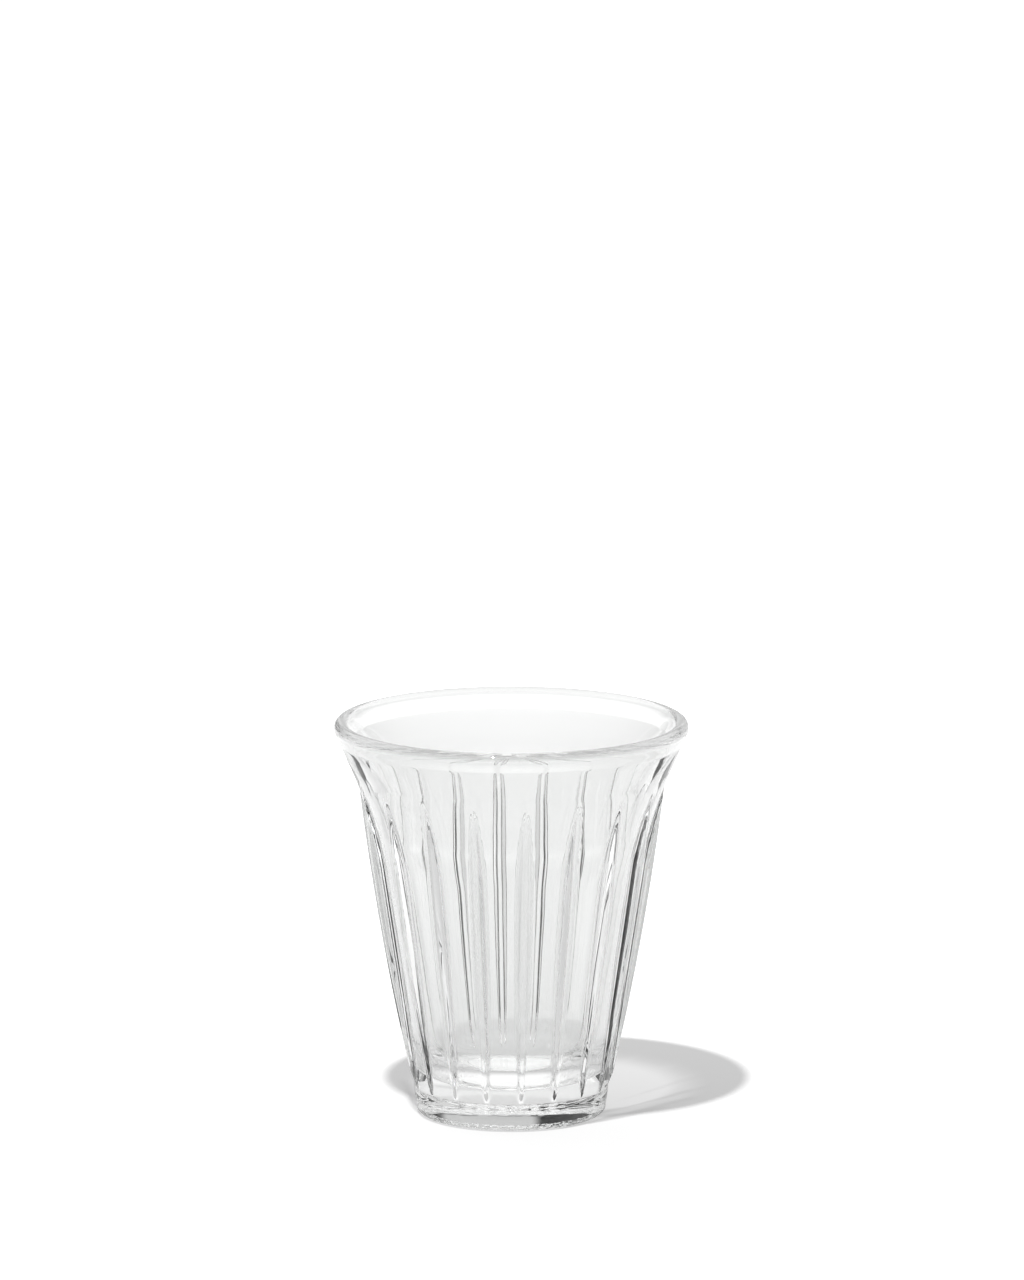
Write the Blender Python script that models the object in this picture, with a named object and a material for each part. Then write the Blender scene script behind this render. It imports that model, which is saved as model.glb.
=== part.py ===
"""A ribbed tea glass: one piece of clear pressed glass, with a flared lip, a foot band and a thick base.

The wall is turned from one closed profile, and the ribs are lofted fins that a union joins to it.
Metres, +Z up, with the origin on the axis at the face that the glass stands on.
"""
import math

import bmesh
import bpy
from mathutils import Matrix, Vector

# Overall sizes
RIM_DIAMETER = 0.0820
HEIGHT = 0.0925
RIM_THICKNESS = 0.0029

# Outside of the wall: a straight cone and a flared lip with a wide bend between them
BEND_DIAMETER = 0.0645
BEND_HEIGHT = 0.0705
BEND_RADIUS = 0.0880

# Foot band under the cone: upright at the top, then tapered down to a rounded edge
FOOT_DIAMETER = 0.0449
FOOT_HEIGHT = 0.0066
FOOT_TAPER_HEIGHT = 0.0058
FOOT_BOTTOM_DIAMETER = 0.0435
FOOT_EDGE_RADIUS = 0.0018

# Inside of the wall: a small floor with a wide round corner, a straight cone and a funnel up to the rim
BASE_THICKNESS = 0.0086
FLOOR_DIAMETER = 0.0367
FLOOR_CORNER_RADIUS = 0.0130
INNER_BEND_DIAMETER = 0.0577
INNER_BEND_HEIGHT = 0.0742
INNER_BEND_RADIUS = 0.0450

# Underside: a ring to stand on, round a shallow recess
RING_WIDTH = 0.0060
RECESS_DEPTH = 0.0004
RECESS_SLOPE_WIDTH = 0.0006

# Ribs: each crest is one long arc from just above the foot band to the flare, with drafted flanks
RIB_COUNT = 18
RIB_FIRST_ANGLE = math.radians(5.6)
RIB_BOTTOM = 0.0072
RIB_TOP = 0.0780
RIB_STEP_AT_FOOT = 0.0005
RIB_BULGE = 0.0010
RIB_CREST_RADIUS = 0.0007
RIB_DRAFT = math.radians(28)
RIB_ROOT_DEPTH = 0.0008
RIB_RUN_OUT = 0.0016
RIB_END_LENGTH = 0.0026

# Facets
TURN_STEPS = 72
RIB_STATIONS = 15
RIB_SIDE_STEPS = 3
BEAD_STEPS = 4
BEND_STEPS = 6
CORNER_STEPS = 4
MERGE_DISTANCE = 1e-6
SHARP_ANGLE = math.radians(30)

GLASS_COLOUR = (0.93, 0.95, 0.94, 1.0)
GLASS_ROUGHNESS = 0.03
GLASS_IOR = 1.52


def clear_scene():
    for item in list(bpy.data.objects):
        bpy.data.objects.remove(item)


def glass_material():
    material = bpy.data.materials.new("clear_glass")
    material.use_nodes = True
    shader = material.node_tree.nodes["Principled BSDF"]
    shader.inputs["Base Color"].default_value = GLASS_COLOUR
    shader.inputs["Metallic"].default_value = 0.0
    shader.inputs["Roughness"].default_value = GLASS_ROUGHNESS
    shader.inputs["IOR"].default_value = GLASS_IOR
    shader.inputs["Transmission Weight"].default_value = 1.0
    return material


def inner_corners():
    """Corners of the inside, from the middle of the floor up, as (r, z), rounding and steps."""
    return [
        ((0.0, BASE_THICKNESS), 0.0, 0),
        ((FLOOR_DIAMETER / 2, BASE_THICKNESS), FLOOR_CORNER_RADIUS, CORNER_STEPS),
        ((INNER_BEND_DIAMETER / 2, INNER_BEND_HEIGHT), INNER_BEND_RADIUS, BEND_STEPS),
    ]


def lip_corners():
    """Two corners round the lip, whose rounding makes one bead that is tangent to both walls."""
    bead = RIM_THICKNESS / 2
    centre = Vector((RIM_DIAMETER / 2 - bead, HEIGHT - bead))
    inner = Vector((INNER_BEND_DIAMETER / 2, INNER_BEND_HEIGHT)) - centre
    outer = Vector((BEND_DIAMETER / 2, BEND_HEIGHT)) - centre
    start = math.atan2(inner.y, inner.x) + 2 * math.pi - math.acos(bead / inner.length)
    end = math.atan2(outer.y, outer.x) + math.acos(bead / outer.length)
    reach = bead / math.cos((start - end) / 4)
    turns = [start + (end - start) * share for share in (0.25, 0.75)]
    places = [(centre.x + reach * math.cos(turn), centre.y + reach * math.sin(turn)) for turn in turns]
    return [(place, bead, BEAD_STEPS) for place in places]


def outer_corners():
    """Corners of the outside, from the bend under the lip down to the middle of the recess."""
    foot, bottom = FOOT_DIAMETER / 2, FOOT_BOTTOM_DIAMETER / 2
    ring_inner = bottom - FOOT_EDGE_RADIUS - RING_WIDTH
    return [
        ((BEND_DIAMETER / 2, BEND_HEIGHT), BEND_RADIUS, BEND_STEPS),
        ((foot, FOOT_HEIGHT), 0.0, 0),
        ((foot, FOOT_TAPER_HEIGHT), 0.0, 0),
        ((bottom, 0.0), FOOT_EDGE_RADIUS, CORNER_STEPS),
        ((ring_inner, 0.0), 0.0, 0),
        ((ring_inner - RECESS_SLOPE_WIDTH, RECESS_DEPTH), 0.0, 0),
        ((0.0, RECESS_DEPTH), 0.0, 0),
    ]


def rounded_corner(before, corner, after, radius, steps):
    """Points of the arc that rounds a corner of the profile."""
    corner = Vector(corner)
    back, ahead = (Vector(before) - corner).normalized(), (Vector(after) - corner).normalized()
    half = back.angle(ahead) / 2
    centre = corner + (back + ahead).normalized() * radius / math.sin(half)
    first, last = ((corner + side * radius / math.tan(half) - centre) for side in (back, ahead))
    start = math.atan2(first.y, first.x)
    sweep = (math.atan2(last.y, last.x) - start + math.pi) % (2 * math.pi) - math.pi
    angles = [start + sweep * step / steps for step in range(steps + 1)]
    return [(centre.x + radius * math.cos(a), centre.y + radius * math.sin(a)) for a in angles]


def profile_points():
    """The half section as (r, z) points, from the middle of the floor over the lip to the recess."""
    corners = inner_corners() + lip_corners() + outer_corners()
    points = []
    for number, (corner, rounding, steps) in enumerate(corners):
        if rounding:
            before, after = corners[number - 1][0], corners[number + 1][0]
            points += rounded_corner(before, corner, after, rounding, steps)
        else:
            points.append(corner)
    return points


def wall_radius(height):
    """Outer radius of the turned wall at a height, read from its profile."""
    profile = profile_points()
    lip = max(range(len(profile)), key=lambda number: profile[number][1])
    for (upper_r, upper_z), (lower_r, lower_z) in zip(profile[lip:], profile[lip + 1:]):
        if lower_z <= height <= upper_z and upper_z > lower_z:
            return lower_r + (upper_r - lower_r) * (height - lower_z) / (upper_z - lower_z)
    return profile[lip][0]


def turned_body():
    mesh = bmesh.new()
    points = [mesh.verts.new((radius, 0.0, height)) for radius, height in profile_points()]
    bmesh.ops.remove_doubles(mesh, verts=points, dist=MERGE_DISTANCE)
    points = list(mesh.verts)
    edges = [mesh.edges.new(pair) for pair in zip(points, points[1:])]
    bmesh.ops.spin(mesh, geom=points + edges, cent=(0, 0, 0), axis=(0, 0, 1), angle=2 * math.pi,
                   steps=TURN_STEPS, use_merge=True)
    bmesh.ops.remove_doubles(mesh, verts=mesh.verts, dist=MERGE_DISTANCE)
    bmesh.ops.recalc_face_normals(mesh, faces=mesh.faces)
    return mesh


def crest_radius(height):
    """Radius of a rib's crest: a chord from foot to flare, bulged, and rounded off at the foot end."""
    low, high = wall_radius(RIB_BOTTOM) + RIB_STEP_AT_FOOT, wall_radius(RIB_TOP)
    share = (height - RIB_BOTTOM) / (RIB_TOP - RIB_BOTTOM)
    short = max(0.0, 1.0 - (height - RIB_BOTTOM) / RIB_END_LENGTH)
    return low + (high - low) * share + 4 * RIB_BULGE * share * (1 - share) - RIB_STEP_AT_FOOT * short ** 2


def rib_heights():
    """Heights of a rib's sections, closer together towards its two ends."""
    low, high = RIB_BOTTOM - RIB_RUN_OUT / 2, RIB_TOP + RIB_RUN_OUT
    shares = [0.5 - 0.5 * math.cos(math.pi * step / RIB_STATIONS) for step in range(RIB_STATIONS + 1)]
    return [low + (high - low) * share for share in shares]


def rib_half_width(fall):
    """Half the width of a rib at a depth under its crest: a round top, then flanks with draft."""
    round_fall = RIB_CREST_RADIUS * (1 - math.sin(RIB_DRAFT))
    if fall < round_fall:
        return math.sqrt(fall * (2 * RIB_CREST_RADIUS - fall))
    return RIB_CREST_RADIUS * math.cos(RIB_DRAFT) + (fall - round_fall) * math.tan(RIB_DRAFT)


def rib_section(mesh, height):
    """One level section of a rib at +X: over the crest from root to root, closed inside the wall."""
    crest = crest_radius(height)
    depth = max(crest - wall_radius(height) + RIB_ROOT_DEPTH, RIB_ROOT_DEPTH / 8)
    round_fall = min(RIB_CREST_RADIUS * (1 - math.sin(RIB_DRAFT)), depth / 2)
    shares = [step / RIB_SIDE_STEPS for step in range(RIB_SIDE_STEPS + 1)]
    falls = [round_fall * share ** 2 for share in shares] + [depth]
    side = [(crest - fall, rib_half_width(fall)) for fall in falls]
    outline = [(x, -y) for x, y in reversed(side)] + side[1:]
    return [mesh.verts.new((x, y, height)) for x, y in outline]


def rib_fins():
    """All the ribs as separate lofted fins, sunk into the wall by their roots."""
    mesh = bmesh.new()
    rings = [rib_section(mesh, height) for height in rib_heights()]
    for lower, upper in zip(rings, rings[1:]):
        for here, there in zip(range(len(lower)), list(range(1, len(lower))) + [0]):
            mesh.faces.new((lower[here], lower[there], upper[there], upper[here]))
    mesh.faces.new(list(reversed(rings[0])))
    mesh.faces.new(rings[-1])
    bmesh.ops.recalc_face_normals(mesh, faces=mesh.faces)
    one_rib = list(mesh.verts) + list(mesh.edges) + list(mesh.faces)
    start = RIB_FIRST_ANGLE - math.pi / 2
    bmesh.ops.rotate(mesh, verts=list(mesh.verts), cent=(0, 0, 0), matrix=Matrix.Rotation(start, 3, "Z"))
    for number in range(1, RIB_COUNT):
        copy = bmesh.ops.duplicate(mesh, geom=one_rib)["geom"]
        moved = [item for item in copy if isinstance(item, bmesh.types.BMVert)]
        turn = Matrix.Rotation(2 * math.pi * number / RIB_COUNT, 3, "Z")
        bmesh.ops.rotate(mesh, verts=moved, cent=(0, 0, 0), matrix=turn)
    return mesh


def add_object(name, mesh):
    data = bpy.data.meshes.new(name)
    mesh.to_mesh(data)
    mesh.free()
    item = bpy.data.objects.new(name, data)
    bpy.context.scene.collection.objects.link(item)
    return item


def build():
    clear_scene()
    ribs = add_object("rib_fins", rib_fins())
    ribs.hide_render = True
    ribs.display_type = "WIRE"

    glass = add_object("ribbed_glass", turned_body())
    glass.data.materials.append(glass_material())
    union = glass.modifiers.new("ribs on the wall", "BOOLEAN")
    union.operation = "UNION"
    union.solver = "EXACT"
    union.object = ribs
    glass.data.shade_smooth()
    glass.data.set_sharp_from_angle(angle=SHARP_ANGLE)


build()
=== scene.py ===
"""The ribbed tea glass on a pale floor, as the photograph shows it."""
import math

import bmesh
import bpy
from mathutils import Matrix, Vector


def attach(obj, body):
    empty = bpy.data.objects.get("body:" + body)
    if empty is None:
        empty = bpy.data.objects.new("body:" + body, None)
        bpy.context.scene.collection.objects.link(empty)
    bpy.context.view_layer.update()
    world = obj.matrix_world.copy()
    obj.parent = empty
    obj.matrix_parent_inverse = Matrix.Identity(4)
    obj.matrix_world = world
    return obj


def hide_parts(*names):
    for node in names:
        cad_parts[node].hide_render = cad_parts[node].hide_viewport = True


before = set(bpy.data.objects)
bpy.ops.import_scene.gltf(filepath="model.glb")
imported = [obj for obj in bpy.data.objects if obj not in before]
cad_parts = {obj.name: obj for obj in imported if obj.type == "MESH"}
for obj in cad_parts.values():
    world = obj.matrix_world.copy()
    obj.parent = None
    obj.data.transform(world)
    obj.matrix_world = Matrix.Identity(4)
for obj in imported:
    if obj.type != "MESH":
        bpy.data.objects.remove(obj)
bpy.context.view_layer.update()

# Sizes of the glass in metres, the same as the solid's unless a comment says otherwise
RIM_DIAMETER = 0.0820
HEIGHT = 0.0925

# Lip: a bead that swells inward over a neck, where the solid has a plain lip 2.9 mm thick.
# The clearance keeps the bead inside the solid's box
BEAD_THICKNESS = 0.0036
LIP_CLEARANCE = 0.00001
NECK_DIAMETER = 0.0726
NECK_HEIGHT = 0.0880
NECK_ROUNDING = 0.0040

# Outside of the wall: a straight cone and a flare with a wide bend between them
BEND_DIAMETER = 0.0645
BEND_HEIGHT = 0.0705
BEND_RADIUS = 0.0880

# Foot band under the cone. Its two upper edges are softer than the solid's
FOOT_DIAMETER = 0.0449
FOOT_HEIGHT = 0.0066
FOOT_TOP_ROUNDING = 0.0040
FOOT_TAPER_HEIGHT = 0.0058
FOOT_TAPER_ROUNDING = 0.0080
FOOT_BOTTOM_DIAMETER = 0.0435
FOOT_EDGE_RADIUS = 0.0018

# Inside of the wall: a small floor with a wide round corner, a straight cone and a funnel
BASE_THICKNESS = 0.0086
FLOOR_DIAMETER = 0.0367
FLOOR_CORNER_RADIUS = 0.013
INNER_BEND_DIAMETER = 0.0577
INNER_BEND_HEIGHT = 0.0742
INNER_BEND_RADIUS = 0.0450

# Underside: a flat standing ring round a shallow recess. The solid leaves its edges sharp
RING_WIDTH = 0.0060
RING_ROUNDING = 0.0004
RECESS_DEPTH = 0.0004
RECESS_SLOPE_WIDTH = 0.0006
RECESS_ROUNDING = 0.0006

# Ribs: each crest is one long arc, with drafted flanks. The root fillet is the scene's own
RIB_COUNT = 18
RIB_FIRST_ANGLE = math.radians(5.6)
RIB_BOTTOM = 0.0072
RIB_TOP = 0.0780
RIB_FOOT_RADIUS = 0.02305
RIB_TOP_RADIUS = 0.0355
RIB_BULGE = 0.0010
RIB_END_LENGTH = 0.0026
RIB_END_DROP = 0.0005
RIB_CREST_RADIUS = 0.0007
RIB_DRAFT = math.radians(28)
RIB_ROOT_FILLET = 0.00035

# How far a rib is followed past its two ends, and how deep its crest may sink into the wall
RIB_REACH_BELOW = 0.001
RIB_REACH_ABOVE = 0.003
RIB_SINK = 0.001

# Fineness of the mesh
COLUMNS_PER_RIB = 22
COLUMN_CROWDING = 0.55
ROW_STEP = 0.0013
BEAD_STEPS = 9
NECK_STEPS = 4
BEND_STEPS = 24
FOOT_STEPS = 3
FOOT_EDGE_STEPS = 8
FLOOR_CORNER_STEPS = 14
INNER_BEND_STEPS = 16
RING_STEPS = 3
MERGE_DISTANCE = 1e-6

# Glass: a faint uneven tint, a haze in small patches and slight waves in the wall
GLASS_IOR = 1.52
GLASS_TINT = (0.966, 0.970, 0.967, 1.0)
GLASS_TINT_DEEP = (0.955, 0.961, 0.957, 1.0)
TINT_PATCHES_PER_METRE = 60.0
TINT_DETAIL = 2.0
HAZE_ROUGHNESS = 0.02
HAZE_PATCHES_PER_METRE = 400.0
HAZE_DETAIL = 3.0
HAZE_EDGE = (0.45, 0.75)
WAVE_STRENGTH = 0.05
WAVES_PER_METRE = 90.0
WAVE_DETAIL = 1.0
BUMP_HEIGHT = 0.0004

# Stipples on the standing ring, which end at this height outside and at this radius inside
STIPPLE_STRENGTH = 0.8
STIPPLES_PER_METRE = 1500.0
STIPPLE_TOP = (0.0012, 0.0020)
STIPPLE_INSIDE = (0.0140, 0.0145)

# Share of the lamp's light that each wall lets through to the shadow, and the same for paper
# that is itself seen through the glass
SHADE_OF_BODY = 0.73
SHADE_OF_FLARE = 0.46
SHADE_EDGE = (0.060, 0.076)
SHADE_SEEN_THROUGH = 0.93

# Paper floor. The camera sees it whitened by a glow, which is weaker round the glass's shadow
WHITE = (1.0, 1.0, 1.0, 1.0)
PAPER_COLOUR = (0.80, 0.80, 0.80, 1.0)
PAPER_SIZE = 10.0
PAPER_GAP = 0.0001
SHADOW_CENTRE = (0.03, 0.06, 0.0)
GLOW_AT_SHADOW = 0.33
GLOW_FAR = 0.95
GLOW_EDGE = (0.05, 0.25)

# Paper as the glass shows it: it also glows far off, outside the lamp's pool, and under the
# foot, where a glass gathers light
GLASS_FOOT = (0.0, 0.0, 0.0)
BACKDROP = 0.58
BACKDROP_EDGE = (0.30, 0.65)
FILL = 0.64
FILL_AT_FOOT = 0.25
FILL_EDGE = (0.12, 0.26)
GATHERED_LIGHT = 0.52
GATHERED_EDGE = (0.016, 0.0215)

# Key lamp, whose pool of light lies behind the glass
KEY_POWER = 335.0
KEY_DISTANCE = 2.4
KEY_DIRECTION = Vector((12.7, 35.5, -91.0)).normalized()
KEY_RADIUS = 0.045
POOL_CENTRE = Vector((0.08, 0.50, 0.0))
POOL_ANGLE = math.radians(30)
POOL_EDGE = (0.37, 0.70)

# Room: dark at eye level, grey in front, bright overhead, with a pale panel low at the back.
# Edges are parts of a unit direction
AMBIENT = 0.10
ROOM_LOW = 0.02
ROOM_FRONT = 0.16
FRONT_EDGE = (-0.92, -0.80)
ROOM_HIGH = 1.1
CEILING_LEAN = (0.0, 0.30, 1.0)
CEILING_EDGE = (0.54, 0.70)
ROOM_BACK = 0.60
PANEL_EDGE = (0.30, 0.60)
PANEL_TOP = (0.24, 0.32)
PANEL_LEFT = (-0.24, -0.14)
PANEL_RIGHT = (0.52, 0.64)

# Camera, from the photograph's 1024 x 1280 frame
CAMERA_DISTANCE = 2.8
CAMERA_ELEVATION = math.radians(12.3)
CAMERA_CLIP = (0.05, 60.0)
SENSOR_WIDTH = 36.0
PIXELS_PER_METRE = 4324.0
FOOT_ROW = 1111.0
AXIS_COLUMN = 511.3
AIM_HEIGHT = 0.046
PHOTO_WIDTH = 1024
PHOTO_HEIGHT = 1280
LIGHT_BOUNCES = 24


def lip_corners():
    """Two corners round the lip. Rounded by half its thickness, they make one bead.

    The bead runs tangent to both walls, and each corner takes half of its turn.
    """
    bead = BEAD_THICKNESS / 2
    inset = bead + LIP_CLEARANCE
    centre = Vector((RIM_DIAMETER / 2 - inset, HEIGHT - inset))
    inner = Vector((NECK_DIAMETER / 2, NECK_HEIGHT)) - centre
    outer = Vector((BEND_DIAMETER / 2, BEND_HEIGHT)) - centre
    start = math.atan2(inner.y, inner.x) + 2 * math.pi - math.acos(bead / inner.length)
    end = math.atan2(outer.y, outer.x) + math.acos(bead / outer.length)
    reach = bead / math.cos((start - end) / 4)
    angles = [start + (end - start) * share for share in (0.25, 0.75)]
    return [(centre.x + reach * math.cos(angle), centre.y + reach * math.sin(angle),
             bead, BEAD_STEPS) for angle in angles]


def profile_corners():
    """Corners of the half section from the inside floor round to the underside.

    Each has a radius, a height, a rounding and the number of steps in that rounding.
    """
    foot, bottom = FOOT_DIAMETER / 2, FOOT_BOTTOM_DIAMETER / 2
    ring = bottom - FOOT_EDGE_RADIUS - RING_WIDTH
    return [
        (0.0, BASE_THICKNESS, 0.0, 0),
        (FLOOR_DIAMETER / 2, BASE_THICKNESS, FLOOR_CORNER_RADIUS, FLOOR_CORNER_STEPS),
        (INNER_BEND_DIAMETER / 2, INNER_BEND_HEIGHT, INNER_BEND_RADIUS, INNER_BEND_STEPS),
        (NECK_DIAMETER / 2, NECK_HEIGHT, NECK_ROUNDING, NECK_STEPS),
        *lip_corners(),
        (BEND_DIAMETER / 2, BEND_HEIGHT, BEND_RADIUS, BEND_STEPS),
        (foot, FOOT_HEIGHT, FOOT_TOP_ROUNDING, FOOT_STEPS),
        (foot, FOOT_TAPER_HEIGHT, FOOT_TAPER_ROUNDING, FOOT_STEPS),
        (bottom, 0.0, FOOT_EDGE_RADIUS, FOOT_EDGE_STEPS),
        (ring, 0.0, RING_ROUNDING, RING_STEPS),
        (ring - RECESS_SLOPE_WIDTH, RECESS_DEPTH, RECESS_ROUNDING, RING_STEPS),
        (0.0, RECESS_DEPTH, 0.0, 0),
    ]


def half_section(mesh):
    """The section as a chain of edges, with its corners rounded and its lines split into rows."""
    corners = profile_corners()
    points = [mesh.verts.new((radius, 0.0, height)) for radius, height, _, _ in corners]
    for pair in zip(points, points[1:]):
        mesh.edges.new(pair)
    for point, (_, _, rounding, steps) in zip(points, corners):
        if steps:
            before, after = (edge.other_vert(point).co - point.co for edge in point.link_edges)
            reach = rounding / math.tan(before.angle(after) / 2)
            bmesh.ops.bevel(mesh, geom=[point], affect="VERTICES", offset=reach,
                            offset_type="OFFSET", segments=steps, profile=0.5, material=-1)
    for edge in list(mesh.edges):
        cuts = math.ceil(edge.calc_length() / ROW_STEP) - 1
        if cuts:
            bmesh.ops.subdivide_edges(mesh, edges=[edge], cuts=cuts)


def crest_radius(height):
    """Radius of a rib's crest: a bulged chord from foot to flare, rounded off at the foot."""
    share = (height - RIB_BOTTOM) / (RIB_TOP - RIB_BOTTOM)
    short = max(0.0, 1.0 - (height - RIB_BOTTOM) / RIB_END_LENGTH)
    chord = RIB_FOOT_RADIUS + (RIB_TOP_RADIUS - RIB_FOOT_RADIUS) * share
    return chord + 4 * RIB_BULGE * share * (1 - share) - RIB_END_DROP * short ** 2


def rib_fall(across):
    """How far a rib's side lies below its crest: a round top, then a drafted straight flank."""
    straight = RIB_CREST_RADIUS * math.cos(RIB_DRAFT)
    if across < straight:
        return RIB_CREST_RADIUS - math.sqrt(RIB_CREST_RADIUS ** 2 - across ** 2)
    round_top = RIB_CREST_RADIUS * (1 - math.sin(RIB_DRAFT))
    return round_top + (across - straight) / math.tan(RIB_DRAFT)


def smooth_larger(first, second, width):
    """The larger of two radii, with a small fillet where they meet."""
    overlap = max(width - abs(first - second), 0.0) / width
    return max(first, second) + overlap * overlap * width / 4


def wall_middle(height):
    """Radius halfway through the wall, which parts its outside from its inside."""
    foot = (FLOOR_DIAMETER + FOOT_DIAMETER) / 4
    bend = (INNER_BEND_DIAMETER + BEND_DIAMETER) / 4
    bend_height = (INNER_BEND_HEIGHT + BEND_HEIGHT) / 2
    if height < bend_height:
        return foot + (bend - foot) * height / bend_height
    lip = (RIM_DIAMETER - BEAD_THICKNESS) / 2
    return bend + (lip - bend) * (height - bend_height) / (HEIGHT - bend_height)


def raise_rib(mesh):
    """Crowds the columns towards the middle of the sector and raises the rib there."""
    half_pitch = math.pi / RIB_COUNT
    lowest, highest = RIB_BOTTOM - RIB_REACH_BELOW, RIB_TOP + RIB_REACH_ABOVE
    for vert in mesh.verts:
        radius, height = math.hypot(vert.co.x, vert.co.y), vert.co.z
        share = math.atan2(vert.co.y, vert.co.x) / half_pitch
        turn = half_pitch * (share * (1 - COLUMN_CROWDING) + COLUMN_CROWDING * share ** 3)
        if radius > wall_middle(height) and lowest < height < highest:
            crest = crest_radius(height)
            if crest > radius - RIB_SINK:
                fin = crest - rib_fall(abs(radius * turn))
                radius = smooth_larger(radius, fin, RIB_ROOT_FILLET)
        vert.co.x, vert.co.y = radius * math.cos(turn), radius * math.sin(turn)


def placed(name, mesh):
    """An object made of the mesh, in the scene."""
    data = bpy.data.meshes.new(name)
    mesh.to_mesh(data)
    mesh.free()
    thing = bpy.data.objects.new(name, data)
    bpy.context.scene.collection.objects.link(thing)
    return thing


def ribbed_wall():
    """One sector with its rib, spun from the half section, then repeated round the axis."""
    mesh = bmesh.new()
    half_section(mesh)
    pitch = 2 * math.pi / RIB_COUNT
    sector_start = Matrix.Rotation(-pitch / 2, 3, "Z")
    bmesh.ops.rotate(mesh, verts=list(mesh.verts), cent=(0, 0, 0), matrix=sector_start)
    bmesh.ops.spin(mesh, geom=list(mesh.verts) + list(mesh.edges), cent=(0, 0, 0),
                   axis=(0, 0, 1), angle=pitch, steps=COLUMNS_PER_RIB)
    raise_rib(mesh)
    first_rib = Matrix.Rotation(RIB_FIRST_ANGLE - math.pi / 2, 3, "Z")
    bmesh.ops.rotate(mesh, verts=list(mesh.verts), cent=(0, 0, 0), matrix=first_rib)
    sector = list(mesh.verts) + list(mesh.edges) + list(mesh.faces)
    bmesh.ops.spin(mesh, geom=sector, cent=(0, 0, 0), axis=(0, 0, 1),
                   angle=2 * math.pi - pitch, steps=RIB_COUNT - 1, use_duplicate=True)
    bmesh.ops.remove_doubles(mesh, verts=mesh.verts, dist=MERGE_DISTANCE)
    bmesh.ops.recalc_face_normals(mesh, faces=mesh.faces)
    piece = placed("ribbed_wall", mesh)
    piece.data.shade_smooth()
    return piece


def feed(tree, source, socket):
    """Gives a socket its value, which is a number or comes from another socket."""
    if isinstance(source, float):
        socket.default_value = source
    else:
        tree.links.new(source, socket)


def combine(tree, operation, first, second):
    node = tree.nodes.new("ShaderNodeMath")
    node.operation = operation
    feed(tree, first, node.inputs[0])
    feed(tree, second, node.inputs[1])
    return node.outputs[0]


def product(tree, first, second):
    return combine(tree, "MULTIPLY", first, second)


def total(tree, first, second):
    return combine(tree, "ADD", first, second)


def larger(tree, first, second):
    return combine(tree, "MAXIMUM", first, second)


def ramp(tree, source, edge, low, high):
    """A smooth change from low to high while the source crosses the edge from start to end."""
    node = tree.nodes.new("ShaderNodeMapRange")
    node.interpolation_type = "SMOOTHSTEP"
    tree.links.new(source, node.inputs["Value"])
    node.inputs["From Min"].default_value, node.inputs["From Max"].default_value = edge
    feed(tree, low, node.inputs["To Min"])
    feed(tree, high, node.inputs["To Max"])
    return node.outputs[0]


def light_path_mask(tree, *names):
    """One for rays of the named kinds, zero for all others."""
    path = tree.nodes.new("ShaderNodeLightPath")
    value = path.outputs[names[0]]
    for name in names[1:]:
        value = larger(tree, value, path.outputs[name])
    return value


def place(tree):
    """The place on the object itself, in metres."""
    return tree.nodes.new("ShaderNodeTexCoord").outputs["Object"]


def noise(tree, scale, detail):
    """Smooth noise over the glass, from 0 to 1, with its scale in patches per metre."""
    texture = tree.nodes.new("ShaderNodeTexNoise")
    texture.inputs["Scale"].default_value = scale
    texture.inputs["Detail"].default_value = detail
    tree.links.new(place(tree), texture.inputs["Vector"])
    return texture.outputs[0]


def stipples(tree):
    """Small close bumps, as on the standing ring of a pressed glass."""
    cells = tree.nodes.new("ShaderNodeTexVoronoi")
    cells.inputs["Scale"].default_value = STIPPLES_PER_METRE
    tree.links.new(place(tree), cells.inputs["Vector"])
    return cells.outputs["Distance"]


def height_on_glass(tree):
    parts = tree.nodes.new("ShaderNodeSeparateXYZ")
    tree.links.new(place(tree), parts.inputs[0])
    return parts.outputs["Z"]


def radius_on_glass(tree):
    level = tree.nodes.new("ShaderNodeVectorMath")
    level.operation = "MULTIPLY"
    level.inputs[1].default_value = (1.0, 1.0, 0.0)
    tree.links.new(place(tree), level.inputs[0])
    radius = tree.nodes.new("ShaderNodeVectorMath")
    radius.operation = "LENGTH"
    tree.links.new(level.outputs[0], radius.inputs[0])
    return radius.outputs["Value"]


def distance_on_floor(tree, spot):
    node = tree.nodes.new("ShaderNodeVectorMath")
    node.operation = "DISTANCE"
    node.inputs[1].default_value = spot
    tree.links.new(place(tree), node.inputs[0])
    return node.outputs["Value"]


def uneven_tint(tree):
    tint = tree.nodes.new("ShaderNodeMix")
    tint.data_type = "RGBA"
    patches = noise(tree, TINT_PATCHES_PER_METRE, TINT_DETAIL)
    tree.links.new(patches, tint.inputs["Factor"])
    tint.inputs["A"].default_value = GLASS_TINT
    tint.inputs["B"].default_value = GLASS_TINT_DEEP
    return tint.outputs["Result"]


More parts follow.
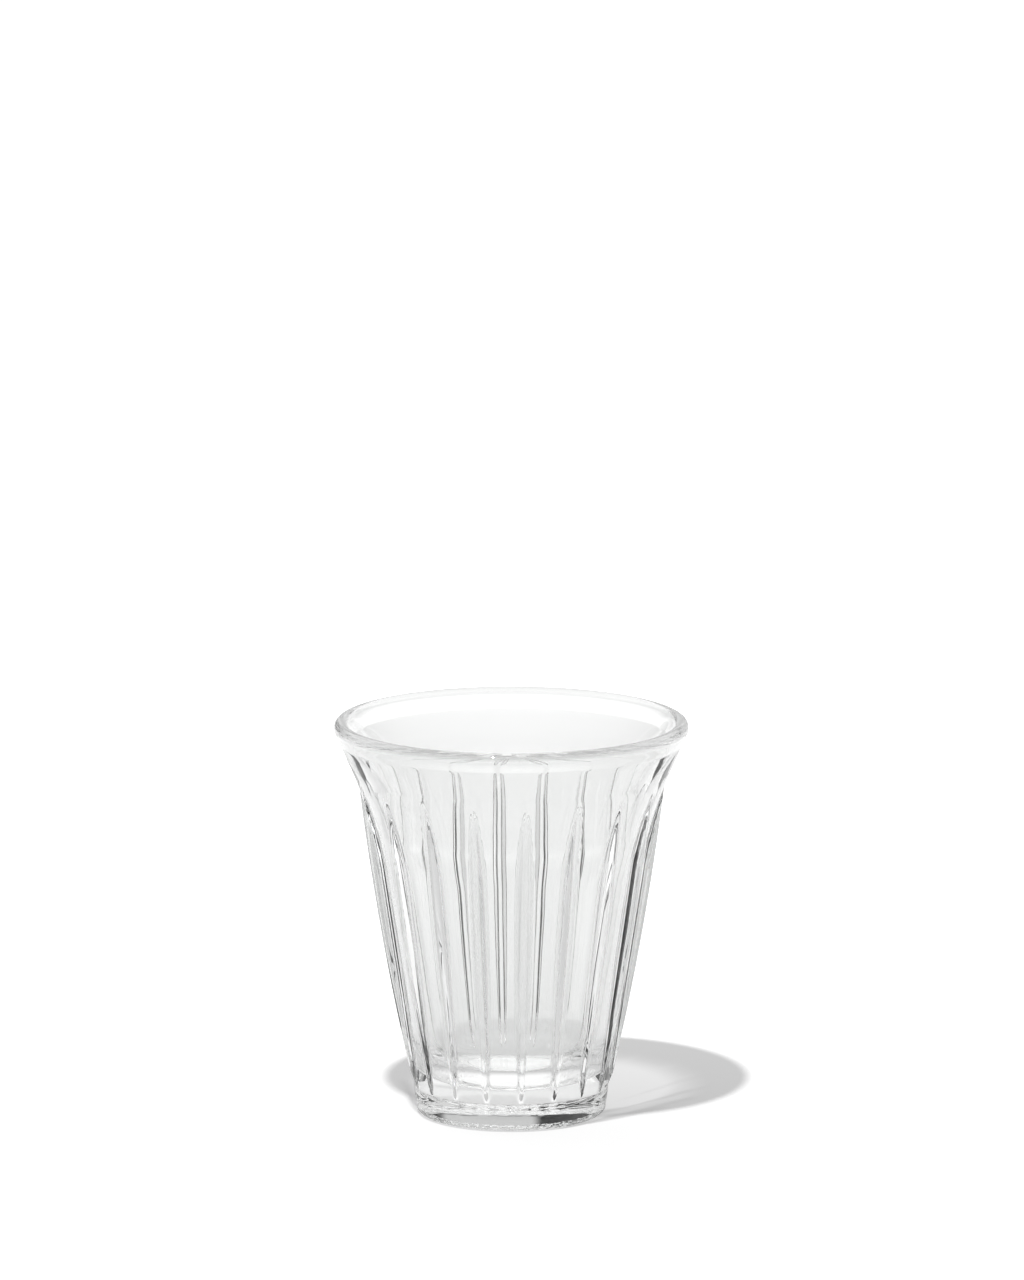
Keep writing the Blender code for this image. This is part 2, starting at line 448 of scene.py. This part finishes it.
def uneven_surface(tree):
    """A wall that waves a little, and stipples on the standing ring."""
    waves = tree.nodes.new("ShaderNodeBump")
    waves.inputs["Strength"].default_value = WAVE_STRENGTH
    waves.inputs["Distance"].default_value = BUMP_HEIGHT
    tree.links.new(noise(tree, WAVES_PER_METRE, WAVE_DETAIL), waves.inputs["Height"])
    low = ramp(tree, height_on_glass(tree), STIPPLE_TOP, 1.0, 0.0)
    outside = ramp(tree, radius_on_glass(tree), STIPPLE_INSIDE, 0.0, 1.0)
    strength = product(tree, product(tree, low, outside), STIPPLE_STRENGTH)
    bumps = tree.nodes.new("ShaderNodeBump")
    bumps.inputs["Distance"].default_value = BUMP_HEIGHT
    tree.links.new(strength, bumps.inputs["Strength"])
    tree.links.new(stipples(tree), bumps.inputs["Height"])
    tree.links.new(waves.outputs[0], bumps.inputs["Normal"])
    return bumps.outputs[0]


def shade_of_glass(tree):
    """The share of light that passes on to the shadow, by height and by how it is seen."""
    shade = ramp(tree, height_on_glass(tree), SHADE_EDGE, SHADE_OF_BODY, SHADE_OF_FLARE)
    path = tree.nodes.new("ShaderNodeLightPath")
    return ramp(tree, path.outputs["Transmission Depth"], (0.0, 1.0), shade, SHADE_SEEN_THROUGH)


def pressed_glass():
    """Clear fire-polished glass. Its shadow's tone is set apart from how it bends light."""
    material = bpy.data.materials.new("pressed_glass")
    material.use_nodes = True
    tree = material.node_tree
    shader = tree.nodes["Principled BSDF"]
    shader.inputs["IOR"].default_value = GLASS_IOR
    shader.inputs["Transmission Weight"].default_value = 1.0
    haze = noise(tree, HAZE_PATCHES_PER_METRE, HAZE_DETAIL)
    roughness = ramp(tree, haze, HAZE_EDGE, 0.0, HAZE_ROUGHNESS)
    tree.links.new(uneven_tint(tree), shader.inputs["Base Color"])
    tree.links.new(roughness, shader.inputs["Roughness"])
    tree.links.new(uneven_surface(tree), shader.inputs["Normal"])

    clear = tree.nodes.new("ShaderNodeBsdfTransparent")
    tree.links.new(shade_of_glass(tree), clear.inputs["Color"])
    mix = tree.nodes.new("ShaderNodeMixShader")
    tree.links.new(light_path_mask(tree, "Is Shadow Ray"), mix.inputs[0])
    tree.links.new(shader.outputs[0], mix.inputs[1])
    tree.links.new(clear.outputs[0], mix.inputs[2])
    tree.links.new(mix.outputs[0], tree.nodes["Material Output"].inputs[0])
    return material


def glow_of_paper(tree):
    """The white that the camera sees, and the light that the glass shows from the paper."""
    from_shadow = distance_on_floor(tree, SHADOW_CENTRE)
    white = ramp(tree, from_shadow, GLOW_EDGE, GLOW_AT_SHADOW, GLOW_FAR)
    white = product(tree, white, light_path_mask(tree, "Is Camera Ray"))
    from_foot = distance_on_floor(tree, GLASS_FOOT)
    from_pool = distance_on_floor(tree, POOL_CENTRE)
    fill = product(tree, ramp(tree, from_pool, POOL_EDGE, 0.0, FILL),
                   ramp(tree, from_foot, FILL_EDGE, FILL_AT_FOOT, 1.0))
    backdrop = ramp(tree, from_foot, BACKDROP_EDGE, 0.0, BACKDROP)
    gathered = ramp(tree, from_foot, GATHERED_EDGE, GATHERED_LIGHT, 0.0)
    shown = total(tree, larger(tree, fill, backdrop), gathered)
    shown = product(tree, shown, light_path_mask(tree, "Is Transmission Ray", "Is Glossy Ray"))
    return total(tree, white, shown)


def pale_floor():
    mesh = bmesh.new()
    bmesh.ops.create_grid(mesh, x_segments=1, y_segments=1, size=PAPER_SIZE)
    bmesh.ops.translate(mesh, verts=mesh.verts, vec=(0.0, 0.0, -PAPER_GAP))
    floor = placed("pale_floor", mesh)
    material = bpy.data.materials.new("pale_paper")
    material.use_nodes = True
    tree = material.node_tree
    shader = tree.nodes["Principled BSDF"]
    shader.inputs["Base Color"].default_value = PAPER_COLOUR
    shader.inputs["Roughness"].default_value = 1.0
    shader.inputs["Specular IOR Level"].default_value = 0.0
    shader.inputs["Emission Color"].default_value = WHITE
    tree.links.new(glow_of_paper(tree), shader.inputs["Emission Strength"])
    floor.data.materials.append(material)


def room_light(tree):
    """The room as the glass shows it, by the direction of the ray."""
    direction = tree.nodes.new("ShaderNodeTexCoord").outputs["Generated"]
    parts = tree.nodes.new("ShaderNodeSeparateXYZ")
    tree.links.new(direction, parts.inputs[0])
    aside, back, up = parts.outputs
    rise = tree.nodes.new("ShaderNodeVectorMath")
    rise.operation = "DOT_PRODUCT"
    rise.inputs[1].default_value = CEILING_LEAN
    tree.links.new(direction, rise.inputs[0])
    low_room = ramp(tree, back, FRONT_EDGE, ROOM_FRONT, ROOM_LOW)
    room = ramp(tree, rise.outputs["Value"], CEILING_EDGE, low_room, ROOM_HIGH)
    panel = product(tree, ramp(tree, back, PANEL_EDGE, 0.0, ROOM_BACK),
                    ramp(tree, up, PANEL_TOP, 1.0, 0.0))
    panel_sides = product(tree, ramp(tree, aside, PANEL_LEFT, 0.0, 1.0),
                          ramp(tree, aside, PANEL_RIGHT, 1.0, 0.0))
    return larger(tree, room, product(tree, panel, panel_sides))


def studio():
    """The room for the glass, an even light for the paper, and white for the camera."""
    world = bpy.data.worlds.new("studio")
    bpy.context.scene.world = world
    world.use_nodes = True
    tree = world.node_tree
    even = tree.nodes.new("ShaderNodeMix")
    tree.links.new(light_path_mask(tree, "Is Diffuse Ray"), even.inputs["Factor"])
    tree.links.new(room_light(tree), even.inputs["A"])
    even.inputs["B"].default_value = AMBIENT
    strength = larger(tree, even.outputs["Result"], light_path_mask(tree, "Is Camera Ray"))
    background = tree.nodes["Background"]
    background.inputs["Color"].default_value = WHITE
    tree.links.new(strength, background.inputs["Strength"])


def key_lamp():
    lamp = bpy.data.lights.new("key_lamp", "SPOT")
    lamp.energy = KEY_POWER
    lamp.shadow_soft_size = KEY_RADIUS
    lamp.spot_size = POOL_ANGLE
    lamp.spot_blend = 1.0
    holder = bpy.data.objects.new("key_lamp", lamp)
    holder.location = Vector((0.0, 0.0, HEIGHT / 2)) - KEY_DIRECTION * KEY_DISTANCE
    aim = POOL_CENTRE - holder.location
    holder.rotation_euler = aim.to_track_quat("-Z", "Y").to_euler()
    bpy.context.scene.collection.objects.link(holder)


def camera():
    """Stands at the photograph's angle, turned so that the glass falls in the same place."""
    lens = bpy.data.cameras.new("camera")
    pixels_to_lens = CAMERA_DISTANCE * PIXELS_PER_METRE
    lens.sensor_width = SENSOR_WIDTH
    lens.lens = SENSOR_WIDTH * pixels_to_lens / PHOTO_HEIGHT
    lens.clip_start, lens.clip_end = CAMERA_CLIP
    aim_row = FOOT_ROW - AIM_HEIGHT * PIXELS_PER_METRE * math.cos(CAMERA_ELEVATION)
    down = CAMERA_ELEVATION - math.atan((aim_row - PHOTO_HEIGHT / 2) / pixels_to_lens)
    aside = math.atan((AXIS_COLUMN - PHOTO_WIDTH / 2) / pixels_to_lens)
    holder = bpy.data.objects.new("camera", lens)
    holder.location = (0.0, -CAMERA_DISTANCE * math.cos(CAMERA_ELEVATION),
                       AIM_HEIGHT + CAMERA_DISTANCE * math.sin(CAMERA_ELEVATION))
    look = Vector((-math.sin(aside), math.cos(down), -math.sin(down)))
    holder.rotation_euler = look.to_track_quat("-Z", "Y").to_euler()
    bpy.context.scene.collection.objects.link(holder)
    bpy.context.scene.camera = holder


def build():
    glass = ribbed_wall()
    glass.data.materials.append(pressed_glass())
    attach(glass, "root")
    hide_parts("ribbed_glass")
    pale_floor()
    studio()
    key_lamp()
    camera()
    scene = bpy.context.scene
    scene.view_settings.view_transform = "Standard"
    scene.cycles.max_bounces = LIGHT_BOUNCES
    scene.cycles.transmission_bounces = LIGHT_BOUNCES
    scene.cycles.glossy_bounces = LIGHT_BOUNCES
    scene.cycles.caustics_refractive = False
    scene.cycles.caustics_reflective = False


build()
